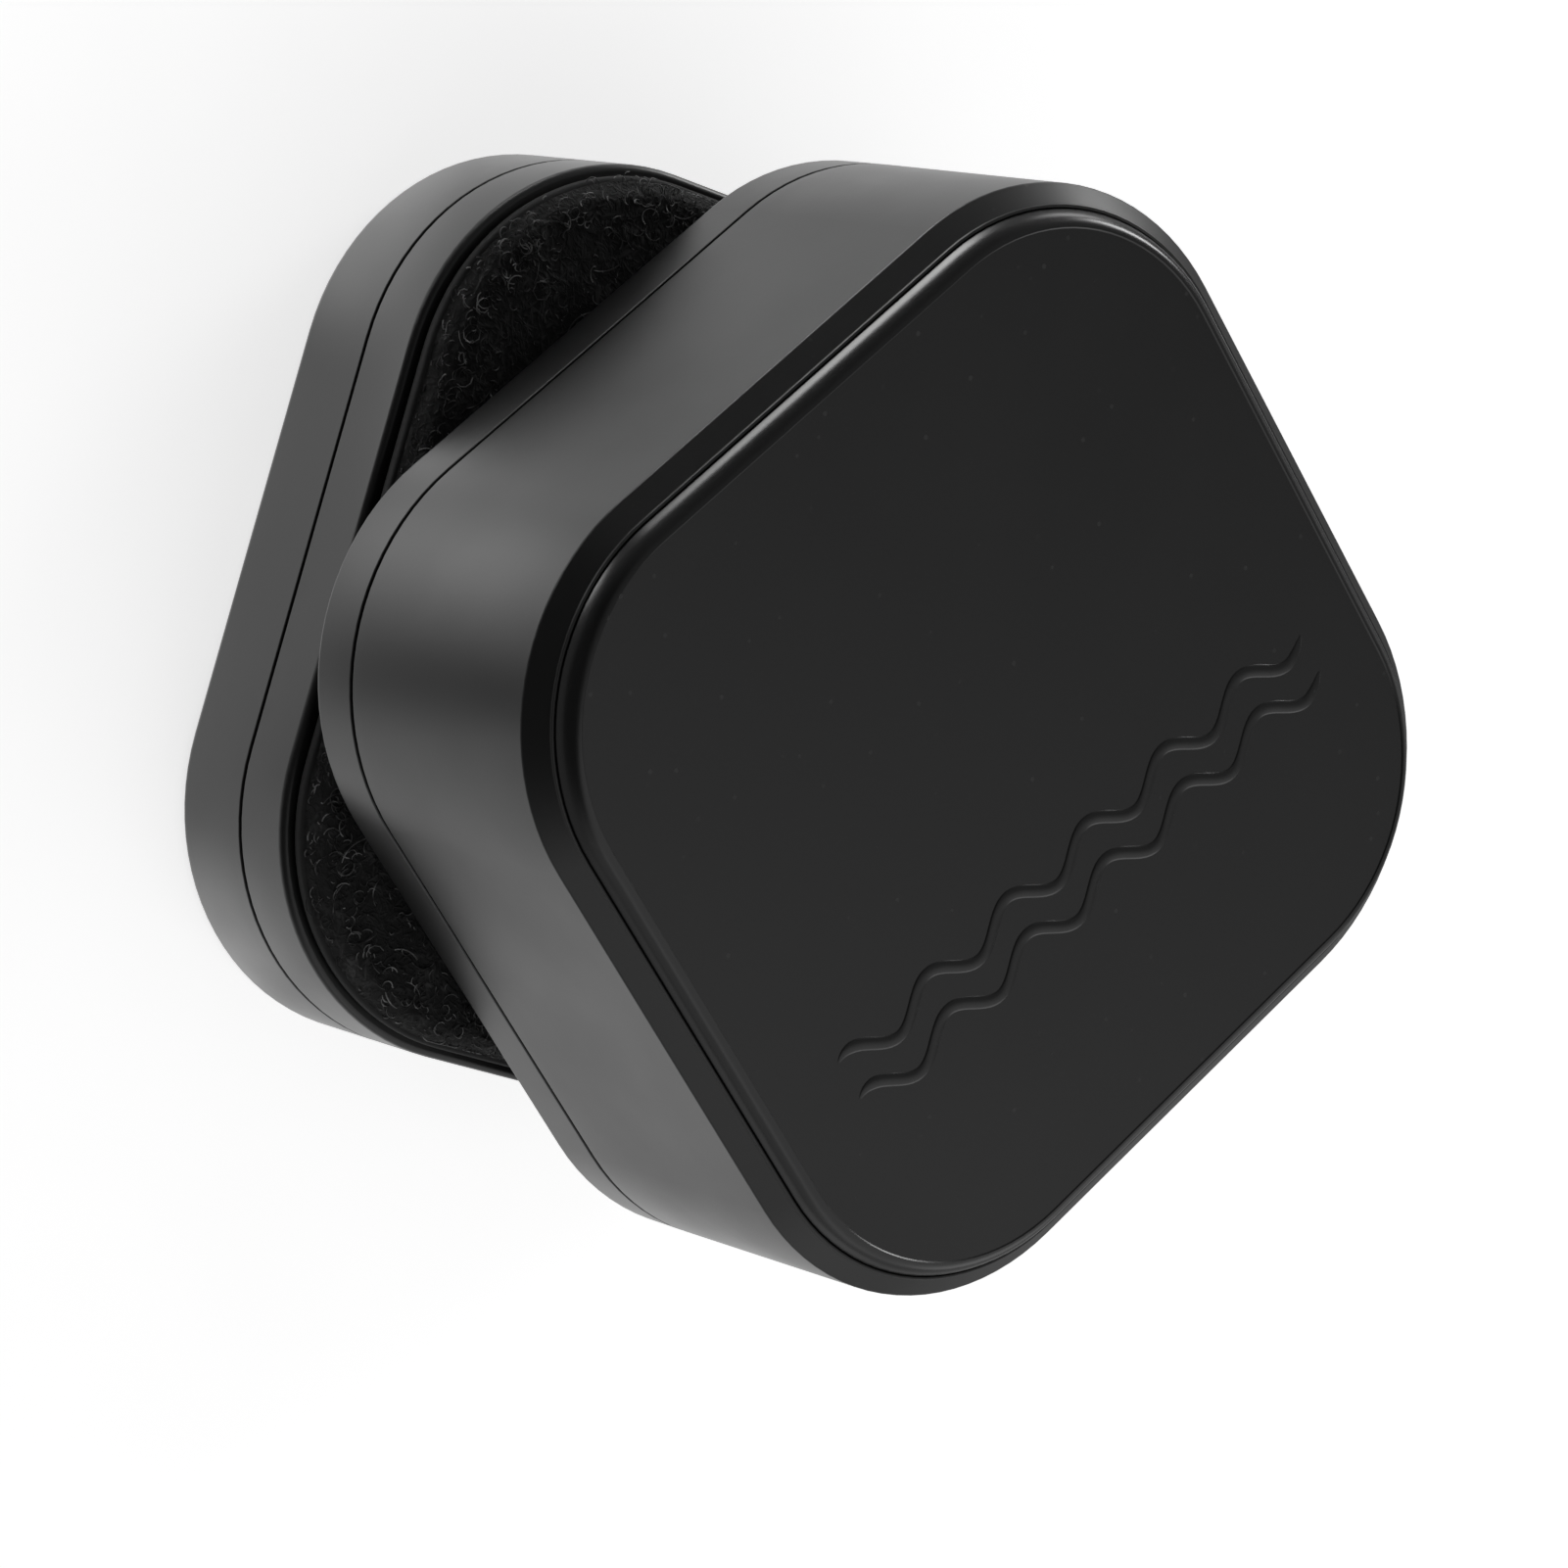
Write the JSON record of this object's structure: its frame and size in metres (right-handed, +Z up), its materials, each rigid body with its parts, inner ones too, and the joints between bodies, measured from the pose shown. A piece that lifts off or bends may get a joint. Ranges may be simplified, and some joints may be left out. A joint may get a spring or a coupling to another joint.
{
  "type": "magnetic glass cleaner",
  "caption": "Two rounded-square black plastic halves that clamp a glass wall by magnets: a thick handle half and a thin half with a looped scrubbing pad.",
  "frame": {"origin": "centre of the wet half's flat back face, on the surface that the object lies on", "axes": "+Z up, out of the wet half's back towards the dry half's face; X and Y along the wet half's straight sides"},
  "size_m": [0.0663, 0.0662, 0.0408],
  "materials": {
    "black_housing": "satin",
    "dark_moulding": "matte",
    "looped_bristle": "matte",
    "grey_felt": "matte",
    "nickel_plating": "polished",
    "zinced_steel": "satin",
    "seal_rubber": "matte",
    "white_foam": "matte",
    "adhesive_film": "satin"
  },
  "bodies": {
    "wet_half": {"inner_back_shell": "black_housing", "inner_pad_cover": "black_housing", "inner_seal": "seal_rubber", "inner_magnet": "nickel_plating", "inner_steel_cup": "zinced_steel", "inner_foam_collar": "white_foam", "inner_pad_adhesive": "adhesive_film", "inner_scrub_pad": "looped_bristle"},
    "magnet_pack": {"outer_steel_cup": "zinced_steel", "outer_magnet": "nickel_plating"},
    "dry_half": {"outer_shell": "black_housing", "outer_face_plate": "black_housing", "outer_pad_cover": "black_housing", "outer_felt_pad": "grey_felt", "outer_pad_adhesive": "adhesive_film", "outer_magnet_cradle": "dark_moulding", "cradle_screw_1": "zinced_steel", "cradle_screw_2": "zinced_steel", "cradle_screw_3": "zinced_steel", "cradle_screw_4": "zinced_steel"}
  },
  "joints": [
    {"name": "lift_off", "type": "slide", "parent": "wet_half", "child": "magnet_pack", "axis": [0, 0, 1], "range_m": [0, 0.04]},
    {"name": "twist", "type": "hinge", "parent": "magnet_pack", "child": "dry_half", "pos_m": [0.00095, 0.00157, 0.0245], "axis": [0, 0, 1], "continuous": true}
  ]
}
